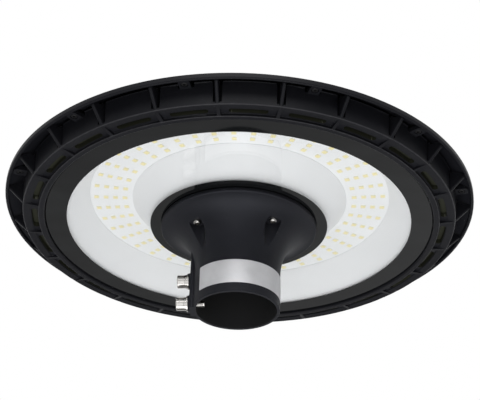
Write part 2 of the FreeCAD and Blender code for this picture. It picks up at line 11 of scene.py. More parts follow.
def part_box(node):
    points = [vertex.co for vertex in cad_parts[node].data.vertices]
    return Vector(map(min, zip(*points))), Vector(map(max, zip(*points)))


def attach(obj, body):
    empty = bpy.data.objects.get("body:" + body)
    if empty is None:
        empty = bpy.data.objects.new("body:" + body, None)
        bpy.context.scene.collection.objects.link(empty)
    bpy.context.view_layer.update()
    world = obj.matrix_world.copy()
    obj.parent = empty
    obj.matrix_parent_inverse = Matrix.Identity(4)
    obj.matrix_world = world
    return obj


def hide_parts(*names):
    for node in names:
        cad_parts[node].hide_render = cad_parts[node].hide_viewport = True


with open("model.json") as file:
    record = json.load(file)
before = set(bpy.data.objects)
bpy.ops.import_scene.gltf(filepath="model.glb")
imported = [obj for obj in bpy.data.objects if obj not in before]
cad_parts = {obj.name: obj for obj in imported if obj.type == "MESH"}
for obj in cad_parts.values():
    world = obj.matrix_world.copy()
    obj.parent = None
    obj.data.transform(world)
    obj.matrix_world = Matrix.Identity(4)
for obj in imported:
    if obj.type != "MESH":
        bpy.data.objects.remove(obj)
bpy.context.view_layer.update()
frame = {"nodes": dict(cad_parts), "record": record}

bl_info = {
    "name": "Street light",
    "version": (1, 0, 0),
    "blender": (4, 5, 0),
    "location": "3D View > Sidebar > Street light",
    "description": "Builds the finishes, fine pieces and studio of a post-top street light",
    "category": "Object",
}

MM = 0.001
UP = (0, 0, 1)
HERE = (0, 0, 0)
WHITE = (1.0, 1.0, 1.0, 1.0)
SAME_POINT = 0.002 * MM
SLIVER = 0.004 * MM
SHARP_EDGE = math.radians(32)

# Bands of the castings that get a colour of their own: painted light in the slots and the pole
# socket, and painted highlights on the rim's round edges
SLOT_RADII = (201.2 * MM, 208.2 * MM)
SLOT_LIFT = 3.7 * MM
SLOT_DEPTH = 5.6 * MM
RING_EDGE_RADII = (199.4 * MM, 201.0 * MM)
RIDGE_EDGE_RADII = (215.2 * MM, 216.9 * MM)
EDGE_HEIGHT = 2 * MM
EDGE_SLANT = (0.2, 0.97)
BORE_RADII = (0.0, 39.8 * MM)
BORE_HEIGHTS = (0.2 * MM, 81 * MM)

# The foot of the lower clamp pad, which has no room for a rounding
PAD_FOOT_SIDE = -43 * MM
PAD_FOOT_HEIGHT = 2.5 * MM

# Copies round the axis, and the turns that set the first of them
NECK_SCREW_COUNT = 4
COVER_SCREW_COUNT = 12
COVER_SCREW_TURN = math.radians(22.5)
RING_COUNT = 4
PACKAGES_IN_RING = 42
PACKAGE_TURN = math.radians(-1.7)
LABEL_SWEEP = math.radians(150)
LABEL_TURN = math.radians(7.5)
SPRING_SWEEP = math.radians(344)
WASHER_TURN = math.radians(-78)

# The small screws that face down
NECK_SCREW = {
    "head_radius": 3.8 * MM, "head_height": 3.4 * MM, "shank_radius": 2.5 * MM, "key": 4.0 * MM,
}
COVER_SCREW = {
    "head_radius": 3.2 * MM, "head_height": 2.2 * MM, "shank_radius": 2.0 * MM, "key": 2.5 * MM,
}

# Rounding of the washers' edges
WASHERS = {"flat_washer_": 0.25 * MM, "spring_washer_": 0.35 * MM}

# Radii of the reflectors in millimetres: both sides of the top, its fold, both sides of the foot
REFLECTORS = {
    "outer_reflector": (151.5, 157.0, 154.5, 176.0, 174.0),
    "inner_reflector": (108.5, 103.5, 105.2, 84.2, 86.2),
}
REFLECTOR_SHEET = 1.0

# Painted and moulded finishes: colour, least and most roughness, fine and coarse grain,
# strength and depth of the bumps, spread of tone, dust, specular level
COATS = {
    "casting_black": ("casting", (0.38, 0.48), 1100, 16, (0.22, 0.12 * MM), 0.10, 0.03, 0.10),
    "gasket_black": ("rubber", (0.65, 0.80), 2200, 40, (0.30, 0.10 * MM), 0.15, 0.05, 0.5),
    "seal_grey": ("seal", (0.60, 0.75), 2200, 40, (0.25, 0.10 * MM), 0.08, 0, 0.5),
    "reflector_white": ("tray", (0.40, 0.52), 700, 9, (0.06, 0.08 * MM), 0.012, 0, 0.5),
    "pad_grey": ("pad", (0.70, 0.85), 1500, 60, (0.30, 0.10 * MM), 0.10, 0, 0.5),
    "black_steel": ("black_steel", (0.40, 0.55), 1800, 90, (0.20, 0.05 * MM), 0.20, 0, 0.12),
    "driver_case": ("driver", (0.35, 0.50), 1600, 30, (0.20, 0.08 * MM), 0.06, 0.05, 0.5),
    "terminal_grey": ("terminal", (0.42, 0.55), 1300, 40, (0.12, 0.06 * MM), 0.06, 0, 0.5),
    "lead_black": ("lead", (0.45, 0.60), 1700, 60, (0.15, 0.06 * MM), 0.15, 0, 0.5),
    "gland_black": ("gland", (0.42, 0.56), 1500, 50, (0.15, 0.06 * MM), 0.15, 0, 0.5),
    "floor_pale": ("floor", (0.60, 0.75), 60, 1.5, (0.03, 0.20 * MM), 0.02, 0, 0.5),
}
BOARD_COAT = ("board", (0.38, 0.48), 900, 14, None, 0.012, 0, 0.5)

# Studio: lamps by place, aim, side and power, then floor, soft light and camera
LAMPS = {
    "light_from_below": ((0.0, -0.2, -1.6), (0.0, 0.0, 0.1), 1.4, 22),
    "light_from_front": ((0.0, -1.5, -0.9), (0.0, 0.0, 0.08), 1.2, 8),
    "light_from_above": ((0.1, -1.6, 1.05), (0.0, 0.0, 0.10), 1.4, 22),
    "light_on_the_floor": ((1.7, 3.0, 0.2), (1.7, 3.0, -1.0), 0.8, 22),
}
FLOOR_SIDE = 14
FLOOR_HEIGHT = -1.75
SOFT_LIGHT = 0.22
CAMERA_PLACE = (0.12834, -1.25357, -0.63431)
CAMERA_AIM = (-0.08654, 0.85197, 0.51638)
CAMERA_ROLL = math.radians(1.6)
LENS = 108.42
SENSOR_WIDTH = 36
HALF_PIXEL = 0.5 / 480


# Sizes and colours


def length(name, description, default):
    """A size in metres that a user can change."""
    return FloatProperty(
        name=name, description=description, default=default,
        min=0, unit="LENGTH", subtype="DISTANCE", precision=5,
    )


def colour(name, description, default):
    """A colour that a user can change."""
    return FloatVectorProperty(
        name=name, description=description, default=default,
        size=3, min=0, max=1, subtype="COLOR",
    )


class LightSizes(PropertyGroup):
    """Sizes of the fine pieces that are modelled here."""

    neck_edge: length("Neck edge", "Rounding of the neck's edges", 0.5 * MM)
    cover_edge: length("Cover edge", "Rounding of the cover's edges", 0.5 * MM)
    label_radius: length("Label radius", "Inner radius of the silver band", 42.45 * MM)
    label_thickness: length("Label thickness", "Thickness of the silver band", 0.4 * MM)
    label_corner: length("Label corner", "Rounding of the band's four corners", 1.5 * MM)
    head_radius: length("Clamp head radius", "Radius of a clamp screw's head", 6.5 * MM)
    head_height: length("Clamp head height", "Height of a clamp screw's head", 8.0 * MM)
    knurls: IntProperty(
        name="Knurls", description="Grooves round a clamp screw's head", default=40, min=8
    )
    socket_across: length("Socket across flats", "Key size of a clamp screw", 6.0 * MM)
    thread_radius: length("Thread radius", "Outer radius of a clamp screw's thread", 3.95 * MM)
    thread_pitch: length("Thread pitch", "Advance of a clamp screw in one turn", 1.25 * MM)
    thread_depth: length("Thread depth", "Depth of a clamp screw's thread", 0.68 * MM)
    washer_hole: length("Washer hole", "Radius of the hole in a washer", 4.3 * MM)
    neck_screw_circle: length("Neck screw circle", "Radius of the four screws' circle", 52.5 * MM)
    cover_screw_circle: length(
        "Cover screw circle", "Radius of the cover screws' circle", 224 * MM
    )
    package_side: length("Package side", "Side of a light package", 5.0 * MM)
    package_rim: length("Package rim", "White rim round a package's face", 0.36 * MM)
    first_ring: length("First ring", "Radius of the inner ring of packages", 116.4 * MM)
    ring_step: length("Ring step", "Distance between the rings of packages", 9.6 * MM)
    glass_hole: length("Glass hole", "Radius of the hole in the glass", 72.5 * MM)
    glass_edge: length("Glass edge", "Ground edge of the glass", 0.7 * MM)
    fold_radius: length("Fold radius", "Rounding of the reflectors' folds", 0.3 * MM)


class LightColours(PropertyGroup):
    """Colours of the finishes."""

    casting: colour("Casting", "Powder coat of the castings", (0.0085, 0.0088, 0.0112))
    # Painted light: the slots and the pole socket are coloured lighter than the coat, standing in
    # for light in their shade; the slots' colour also carries an olive tone
    slots: colour("Slots", "Bare alloy in the slots of the rim", (0.024, 0.025, 0.017))
    bore: colour("Bore", "Bare alloy in the pole socket", (0.019, 0.019, 0.019))
    # Painted highlight: a lighter colour on the rim's round edges stands in for their highlight
    # lines
    worn: colour("Worn edges", "Thin coat on the rim's round edges", (0.034, 0.034, 0.038))
    dust: colour("Dust", "Dust settled on the paint", (0.32, 0.31, 0.30))
    enamel: colour("Enamel", "Black border of the glass", (0.006, 0.0065, 0.007))
    tray: colour("Tray", "White paint of the reflectors", (0.86, 0.87, 0.885))
    board: colour("Board", "White face of the light board", (0.86, 0.87, 0.88))
    phosphor: colour("Phosphor", "Light packages when off", (0.90, 0.81, 0.43))
    package: colour("Package", "Pale rim of the light packages", (0.82, 0.78, 0.62))
    steel: colour("Steel", "Nickel-plated steel", (0.44, 0.43, 0.415))
    label: colour("Label", "Blank silver band", (0.66, 0.66, 0.68))
    rubber: colour("Rubber", "Gaskets", (0.02, 0.02, 0.021))
    seal: colour("Seal", "Seals of the glass", (0.33, 0.33, 0.34))
    pad: colour("Pad", "Thermal pad", (0.36, 0.38, 0.41))
    black_steel: colour("Black steel", "Cover screws", (0.012, 0.012, 0.013))
    driver: colour("Driver", "Case of the driver", (0.56, 0.57, 0.58))
    terminal: colour("Terminal", "Terminal block", (0.42, 0.43, 0.44))
    lead: colour("Lead", "Skin of the leads", (0.022, 0.022, 0.024))
    gland: colour("Gland", "Cable gland and its nut", (0.020, 0.020, 0.021))
    floor: colour("Floor", "Studio floor", (0.66, 0.66, 0.66))


def sizes():
    """The sizes in use."""
    return bpy.context.scene.street_light_sizes


def colours():
    """The colours in use."""
    return bpy.context.scene.street_light_colours


# Modelling by hand


def start():
    """Leave edit mode and select nothing, so that an operator touches only its own piece."""
    if bpy.context.object and bpy.context.object.mode != "OBJECT":
        bpy.ops.object.mode_set(mode="OBJECT")
    bpy.ops.object.select_all(action="DESELECT")


def take(*pieces):
    """Select these pieces and make the first one active."""
    start()
    for piece in pieces:
        piece.select_set(True)
    bpy.context.view_layer.objects.active = pieces[0]


def shape(piece):
    """Take one piece into edit mode with all of it selected."""
    take(piece)
    bpy.ops.object.mode_set(mode="EDIT")
    bpy.ops.mesh.select_mode(type="VERT")
    bpy.ops.mesh.select_all(action="SELECT")


def named(name):
    """Name the new piece and put its place into its mesh."""
    piece = bpy.context.object
    piece.name = name
    piece.data.name = name
    bpy.ops.object.transform_apply(location=True, rotation=True, scale=True)
    return piece


def add_rod(name, radius, low, high, sides):
    """Add an upright rod between two heights."""
    start()
    bpy.ops.mesh.primitive_cylinder_add(
        vertices=sides, radius=radius, depth=high - low, location=(0, 0, (low + high) / 2)
    )
    return named(name)


def add_block(name, low, high):
    """Add a block between two corners."""
    start()
    middle = (Vector(low) + Vector(high)) / 2
    bpy.ops.mesh.primitive_cube_add(size=1, location=middle, scale=Vector(high) - Vector(low))
    return named(name)


def pick(piece, kind, test):
    """Select only the points, edges or faces whose middle and direction pass a test."""
    bpy.ops.mesh.select_mode(type=kind)
    bpy.ops.mesh.select_all(action="DESELECT")
    mesh = bmesh.from_edit_mesh(piece.data)
    mesh.normal_update()
    if kind == "FACE":
        chosen = [f for f in mesh.faces if test(f.calc_center_median(), f.normal)]
    elif kind == "EDGE":
        chosen = []
        for edge in mesh.edges:
            first, last = edge.verts[0].co, edge.verts[1].co
            if test((first + last) / 2, (last - first).normalized()):
                chosen.append(edge)
    else:
        chosen = [v for v in mesh.verts if test(v.co, v.normal)]
    for item in chosen:
        item.select_set(True)
    mesh.select_flush_mode()
    bmesh.update_edit_mesh(piece.data)
    return len(chosen)


def near(value, target, slack=0.02 * MM):
    """Whether two lengths are the same within a small slack."""
    return abs(value - target) < slack


def across(point):
    """Distance of a point from the upright axis."""
    return math.hypot(point.x, point.y)


def within(value, band):
    """Whether a value lies between the two ends of a band."""
    return band[0] < value < band[1]


def runs_round(point, direction):
    """Whether an edge runs round the upright axis."""
    outward = abs(direction.x * point.x + direction.y * point.y)
    return abs(direction.z) < 0.05 and outward < 0.3 * across(point)


def soften(piece, offset, segments, test):
    """Bevel the edges that pass a test."""
    if not pick(piece, "EDGE", test):
        raise RuntimeError(f"{piece.name} has no such edges to soften")
    bpy.ops.mesh.bevel(
        offset=offset, segments=segments, profile=0.5, affect="EDGES", clamp_overlap=False
    )


def tidy_skin():
    """Merge doubled points and turn every face outwards."""
    bpy.ops.mesh.select_mode(type="VERT")
    bpy.ops.mesh.select_all(action="SELECT")
    bpy.ops.mesh.remove_doubles(threshold=SAME_POINT)
    bpy.ops.mesh.normals_make_consistent(inside=False)


def mark(piece, name, test):
    """Mark the faces whose middle and direction pass a test, for a finish to read."""
    mask = piece.data.attributes.new(name, "FLOAT", "FACE")
    for face in piece.data.polygons:
        mask.data[face.index].value = float(test(face.center, face.normal))


def drop_slivers():
    """Merge points that a bevel left on top of each other, and drop faces without area."""
    bpy.ops.mesh.select_mode(type="VERT")
    bpy.ops.mesh.select_all(action="SELECT")
    bpy.ops.mesh.remove_doubles(threshold=SLIVER)
    bpy.ops.mesh.dissolve_degenerate(threshold=SLIVER)


def trace(name, profile):
    """Trace a closed cross-section, in millimetres, point by point in the XZ plane."""
    start()
    bpy.ops.mesh.primitive_plane_add(size=1 * MM)
    piece = named(name)
    shape(piece)
    bpy.ops.mesh.merge(type="CENTER")
    first = Vector((profile[0][0], 0, profile[0][1])) * MM
    bpy.ops.transform.translate(value=first)
    place = first
    for across_at, up_at in profile[1:]:
        step = Vector((across_at, 0, up_at)) * MM - place
        bpy.ops.mesh.extrude_vertices_move(TRANSFORM_OT_translate={"value": step})
        place = place + step
    pick(piece, "VERT", lambda p, n: (p - first).length < 1e-6 or (p - place).length < 1e-6)
    bpy.ops.mesh.edge_face_add()
    bpy.ops.mesh.select_all(action="SELECT")
    return piece


def turned(name, profile, sides):
    """Spin a traced cross-section all the way round the upright axis."""
    piece = trace(name, profile)
    bpy.ops.mesh.spin(steps=sides, angle=math.tau, center=HERE, axis=UP)
    tidy_skin()
    return piece


def copy_round(piece, count):
    """Copy all of a piece round the upright axis."""
    shape(piece)
    bpy.ops.mesh.spin(
        steps=count - 1, dupli=True, angle=math.tau * (count - 1) / count, center=HERE, axis=UP
    )
    start()


def close_ends(sides):
    """Fill the open ends of the piece in hand, then merge it and turn its faces outwards."""
    bpy.ops.mesh.select_mode(type="EDGE")
    bpy.ops.mesh.select_all(action="DESELECT")
    bpy.ops.mesh.select_non_manifold(extend=False)
    bpy.ops.mesh.fill_holes(sides=sides)
    tidy_skin()


def cut(piece, cutter):
    """Cut one piece out of another."""
    take(piece)
    bpy.ops.object.modifier_add(type="BOOLEAN")
    cutting = piece.modifiers[-1]
    cutting.operation = "DIFFERENCE"
    cutting.solver = "EXACT"
    cutting.object = cutter
    bpy.ops.object.modifier_apply(modifier=cutting.name)
    bpy.data.objects.remove(cutter, do_unlink=True)


def put(piece, at, turn=HERE):
    """Turn a piece, move it, and put its place into its mesh."""
    take(piece)
    piece.rotation_euler = turn
    piece.location = at
    bpy.ops.object.transform_apply(location=True, rotation=True, scale=True)


def keep(piece, body, slot_name, *nodes, crease=30, skin=None):
    """Finish a piece: smooth it, paint it, and let it ride in place of its CAD nodes."""
    take(piece)
    bpy.ops.object.shade_smooth_by_angle(angle=math.radians(crease))
    piece.data.materials.clear()
    piece.data.materials.append(finish(skin or slot_name))
    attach(piece, body)
    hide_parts(*nodes)


# Finishes


def finish(slot_name):
    """The finish made here for a slot of the record."""
    return bpy.data.materials["finish_" + slot_name]


def add_node(tree, kind, values=None, **settings):
    """Add a shader node with its settings and socket values."""
    made = tree.nodes.new("ShaderNode" + kind)
    for key, value in settings.items():
        setattr(made, key, value)
    for key, value in (values or {}).items():
        made.inputs[key].default_value = value
    return made


def new_group(name, inputs, outputs):
    """Start a shader node group with a vector, some numbers in and some numbers out."""
    group = bpy.data.node_groups.new(name, "ShaderNodeTree")
    group.interface.new_socket(name="Vector", in_out="INPUT", socket_type="NodeSocketVector")
    for label, default in inputs.items():
        socket = group.interface.new_socket(
            name=label, in_out="INPUT", socket_type="NodeSocketFloat"
        )
        socket.default_value = default
    for label in outputs:
        group.interface.new_socket(name=label, in_out="OUTPUT", socket_type="NodeSocketFloat")
    return group, group.nodes.new("NodeGroupInput"), group.nodes.new("NodeGroupOutput")


def stretch(tree, source, low, high, to_low=0.0, to_high=1.0):
    """Stretch a band of values to another band."""
    made = add_node(tree, "MapRange", {1: low, 2: high, 3: to_low, 4: to_high})
    tree.links.new(source, made.inputs[0])
    return made.outputs[0]


def combine(tree, operation, first, second):
    """Join two values, or a value and a number."""
    made = add_node(tree, "Math", operation=operation)
    for socket, value in zip(made.inputs, (first, second)):
        if isinstance(value, (int, float)):
            socket.default_value = value
        else:
            tree.links.new(value, socket)
    return made.outputs[0]


def make_surface_grain():
    """Fine grain over broad clouds, as in paint, castings and rubber."""
    group, given, result = new_group(
        "surface_grain", {"Fine": 1400, "Coarse": 18}, ("Height", "Cloud")
    )
    fine = add_node(group, "TexNoise", {"Detail": 2, "Roughness": 0.55})
    broad = add_node(group, "TexNoise", {"Detail": 4, "Roughness": 0.6})
    for noise, scale in ((fine, "Fine"), (broad, "Coarse")):
        group.links.new(given.outputs["Vector"], noise.inputs["Vector"])
        group.links.new(given.outputs[scale], noise.inputs["Scale"])
    height = combine(group, "MULTIPLY", fine.outputs[0], 0.75)
    group.links.new(height, result.inputs["Height"])
    group.links.new(stretch(group, broad.outputs[0], 0.32, 0.68), result.inputs["Cloud"])


def make_settled_dust():
    """Thin patches of dust with small specks in them."""
    group, given, result = new_group("settled_dust", {"Amount": 0.2}, ("Dust",))
    patch = add_node(group, "TexNoise", {"Scale": 11, "Detail": 5, "Roughness": 0.62})
    speck = add_node(group, "TexNoise", {"Scale": 900, "Detail": 1})
    for noise in (patch, speck):
        group.links.new(given.outputs["Vector"], noise.inputs["Vector"])
    patches = stretch(group, patch.outputs[0], 0.46, 0.78)
    specks = stretch(group, speck.outputs[0], 0.60, 0.74, 0.25, 1.0)
    dust = combine(group, "MULTIPLY", patches, specks)
    group.links.new(
        combine(group, "MULTIPLY", dust, given.outputs["Amount"]), result.inputs["Dust"]
    )


def make_drawn_lines():
    """Fine lines drawn out round the piece, as on rolled foil and turned metal."""
    group, given, result = new_group("drawn_lines", {"Lines": 2600}, ("Lines", "Cloud"))
    flat = add_node(group, "VectorMath", operation="MULTIPLY")
    flat.inputs[1].default_value = (0.04, 0.04, 1.0)
    lines = add_node(group, "TexNoise", {"Detail": 2, "Roughness": 0.6})
    cloud = add_node(group, "TexNoise", {"Scale": 60, "Detail": 3})
    group.links.new(given.outputs["Vector"], flat.inputs[0])
    group.links.new(flat.outputs[0], lines.inputs["Vector"])
    group.links.new(given.outputs["Lines"], lines.inputs["Scale"])
    group.links.new(given.outputs["Vector"], cloud.inputs["Vector"])
    group.links.new(stretch(group, lines.outputs[0], 0.3, 0.7), result.inputs["Lines"])
    group.links.new(stretch(group, cloud.outputs[0], 0.35, 0.65), result.inputs["Cloud"])


def make_wiped_film():
    """Faint film left on glass and enamel by wiping."""
    group, given, result = new_group("wiped_film", {"Scale": 7}, ("Film",))
    drawn = add_node(group, "VectorMath", operation="MULTIPLY")
    drawn.inputs[1].default_value = (1.0, 3.0, 1.0)
    film = add_node(group, "TexNoise", {"Detail": 4, "Roughness": 0.5, "Distortion": 1.2})
    group.links.new(given.outputs["Vector"], drawn.inputs[0])
    group.links.new(drawn.outputs[0], film.inputs["Vector"])
    group.links.new(given.outputs["Scale"], film.inputs["Scale"])
    group.links.new(stretch(group, film.outputs[0], 0.42, 0.75), result.inputs["Film"])


def place_group(tree, name, coordinates, **values):
    """Put a node group into a material, fed by the object's own coordinates."""
    made = add_node(tree, "Group")
    made.node_tree = bpy.data.node_groups[name]
    for key, value in values.items():
        made.inputs[key].default_value = value
    tree.links.new(coordinates, made.inputs["Vector"])
    return made


def shade(base, factor):
    """A colour made lighter or darker, with full alpha."""
    return tuple(min(1.0, part * factor) for part in base) + (1.0,)


def blend_colours(tree, mask, first, second):
    """Mix two colours, or a colour and a socket, by a mask."""
    made = add_node(tree, "Mix", data_type="RGBA")
    tree.links.new(mask, made.inputs[0])
    for socket, value in ((made.inputs[6], first), (made.inputs[7], second)):
        if isinstance(value, tuple):
            socket.default_value = value
        else:
            tree.links.new(value, socket)
    return made.outputs[2]


def raise_bumps(tree, shader, height, strength, distance):
    """Feed a height to the shader's normal."""
    bump = add_node(tree, "Bump", {"Strength": strength, "Distance": distance})
    tree.links.new(height, bump.inputs["Height"])
    tree.links.new(bump.outputs[0], shader.inputs["Normal"])


def new_material(name):
    """Start a material and give its tree, shader and object coordinates."""
    material = bpy.data.materials.new("finish_" + name)
    material.use_nodes = True
    tree = material.node_tree
    return tree, tree.nodes["Principled BSDF"], add_node(tree, "TexCoord").outputs["Object"]


def coated(name, tint, rough, fine, coarse, bump, spread, dust, specular):
    """A painted, cast or moulded finish with clouds of tone and gloss, grain and dust."""
    tree, shader, place = new_material(name)
    base = tuple(getattr(colours(), tint))
    grain = place_group(tree, "surface_grain", place, Fine=fine, Coarse=coarse)
    tone = blend_colours(
        tree, grain.outputs["Cloud"], shade(base, 1 - spread), shade(base, 1 + spread)
    )
    if dust:
        settled = place_group(tree, "settled_dust", place, Amount=dust)
        tone = blend_colours(tree, settled.outputs["Dust"], tone, shade(colours().dust, 1))
    tree.links.new(tone, shader.inputs["Base Color"])
    gloss = stretch(tree, grain.outputs["Cloud"], 0, 1, *rough)
    tree.links.new(gloss, shader.inputs["Roughness"])
    if bump:
        raise_bumps(tree, shader, grain.outputs["Height"], *bump)
    shader.inputs["Specular IOR Level"].default_value = specular
    return tree, shader, place


def casting_with_painted_light(name, alloy, rough, specular, sheen):
    """The castings' powder coat, with painted light on the faces marked in the hollows and
    painted highlights on the faces marked on the round edges.
    """
    tree, shader, _ = coated(name, "casting", rough, *COATS["casting_black"][2:7], specular)
    shader.inputs["Specular Tint"].default_value = sheen
    tone = shader.inputs["Base Color"].links[0].from_socket
    # Painted light in the slots and the pole socket, then painted highlights on the rim's round
    # edges
    for mask, base in (("bare", alloy), ("worn", colours().worn)):
        marked = add_node(tree, "Attribute", attribute_name=mask)
        tone = blend_colours(tree, marked.outputs["Fac"], tone, shade(base, 1))
    tree.links.new(tone, shader.inputs["Base Color"])


def drawn_metal(name, base, rough, lines, bump, metallic):
    """A bright metal with fine drawn lines and uneven gloss."""
    tree, shader, place = new_material(name)
    drawn = place_group(tree, "drawn_lines", place, Lines=lines)
    tone = blend_colours(tree, drawn.outputs["Cloud"], shade(base, 0.93), shade(base, 1.05))
    tree.links.new(tone, shader.inputs["Base Color"])
    gloss = combine(tree, "MULTIPLY", drawn.outputs["Lines"], drawn.outputs["Cloud"])
    tree.links.new(stretch(tree, gloss, 0, 1, *rough), shader.inputs["Roughness"])
    raise_bumps(tree, shader, drawn.outputs["Lines"], *bump)
    shader.inputs["Metallic"].default_value = metallic


def make_enamel():
    """Glossy black border fired on the glass."""
    tree, shader, place = new_material("black_enamel")
    base = tuple(colours().enamel)
    film = place_group(tree, "wiped_film", place, Scale=9)
    tone = blend_colours(tree, film.outputs["Film"], shade(base, 0.8), shade(base, 1.5))
    tree.links.new(tone, shader.inputs["Base Color"])
    tree.links.new(
        stretch(tree, film.outputs["Film"], 0, 1, 0.05, 0.13), shader.inputs["Roughness"]
    )
    grain = place_group(tree, "surface_grain", place, Fine=300, Coarse=30)
    raise_bumps(tree, shader, grain.outputs["Height"], 0.02, 0.05 * MM)


def make_glass():
    """Clear glass that lets light and shadow rays straight through."""
    tree, shader, place = new_material("clear_glass")
    film = place_group(tree, "wiped_film", place, Scale=6)
    tone = blend_colours(
        tree, film.outputs["Film"], (0.985, 0.994, 0.992, 1), (0.965, 0.975, 0.973, 1)
    )
    tree.links.new(tone, shader.inputs["Base Color"])
    shader.inputs["Roughness"].default_value = 0.0
    shader.inputs["Transmission Weight"].default_value = 1.0
    shader.inputs["IOR"].default_value = 1.5
    path = add_node(tree, "LightPath")
    through = combine(
        tree, "MAXIMUM", path.outputs["Is Shadow Ray"], path.outputs["Is Diffuse Ray"]
    )
    clear = add_node(tree, "BsdfTransparent")
    mixed = add_node(tree, "MixShader")
    tree.links.new(through, mixed.inputs[0])
    tree.links.new(shader.outputs[0], mixed.inputs[1])
    tree.links.new(clear.outputs[0], mixed.inputs[2])
    tree.links.new(mixed.outputs[0], tree.nodes["Material Output"].inputs["Surface"])


def make_phosphor():
    """Pale package with a yellow phosphor face."""
    tree, shader, place = new_material("package_yellow")
    grain = place_group(tree, "surface_grain", place, Fine=4000, Coarse=500)
    base = tuple(colours().phosphor)
    yellow = blend_colours(tree, grain.outputs["Cloud"], shade(base, 0.95), shade(base, 1.05))
    face = add_node(tree, "Attribute", attribute_name="phosphor")
    tone = blend_colours(tree, face.outputs["Fac"], shade(colours().package, 1), yellow)
    tree.links.new(tone, shader.inputs["Base Color"])
    tree.links.new(
        stretch(tree, grain.outputs["Cloud"], 0, 1, 0.35, 0.5), shader.inputs["Roughness"]
    )
    raise_bumps(tree, shader, grain.outputs["Height"], 0.1, 0.02 * MM)


def make_board():
    """White solder mask with faint copper tracks under it, ring by ring."""
    tree, shader, place = coated("board_white", *BOARD_COAT)
    flat = add_node(tree, "VectorMath", operation="MULTIPLY")
    flat.inputs[1].default_value = (1, 1, 0)
    radius = add_node(tree, "VectorMath", operation="LENGTH")
    tree.links.new(place, flat.inputs[0])
    tree.links.new(flat.outputs[0], radius.inputs[0])
    from_first = combine(tree, "SUBTRACT", radius.outputs["Value"], sizes().first_ring)
    turn = combine(tree, "PINGPONG", from_first, sizes().ring_step / 2)
    track = stretch(tree, turn, 1.3 * MM, 1.6 * MM)
    grain = place_group(tree, "surface_grain", place, Fine=1200, Coarse=40)
    height = combine(tree, "ADD", combine(tree, "MULTIPLY", track, 0.6), grain.outputs["Height"])
    raise_bumps(tree, shader, height, 0.08, 0.05 * MM)


class STREETLIGHT_OT_finishes(Operator):
    """Make the finishes and paint the CAD nodes with them"""

    bl_idname = "streetlight.finishes"
    bl_label = "Finishes"

    def execute(self, context):
        tint = colours()
        make_surface_grain()
        make_settled_dust()
        make_drawn_lines()
        make_wiped_film()
        for name, coat in COATS.items():
            coated(name, *coat)
        drawn_metal("bright_steel", tint.steel, (0.16, 0.34), 2400, (0.10, 0.03 * MM), 1.0)
        drawn_metal("label_silver", tint.label, (0.42, 0.55), 3000, (0.06, 0.02 * MM), 0.5)
        make_enamel()
        make_glass()
        make_phosphor()
        make_board()
        for part in frame["record"]["subparts"]:
            skin = frame["nodes"][part["node"]].data.materials
            skin.clear()
            skin.append(finish(part["material_slot"]))
        bluish = (0.84, 0.87, 1.0, 1.0)
        # Painted light in the rim's slots and in the pole socket
        casting_with_painted_light("slotted_casting", tint.slots, (0.38, 0.48), 0.10, WHITE)
        casting_with_painted_light("bored_casting", tint.bore, (0.52, 0.62), 0.24, bluish)
        return {"FINISHED"}


# Pieces


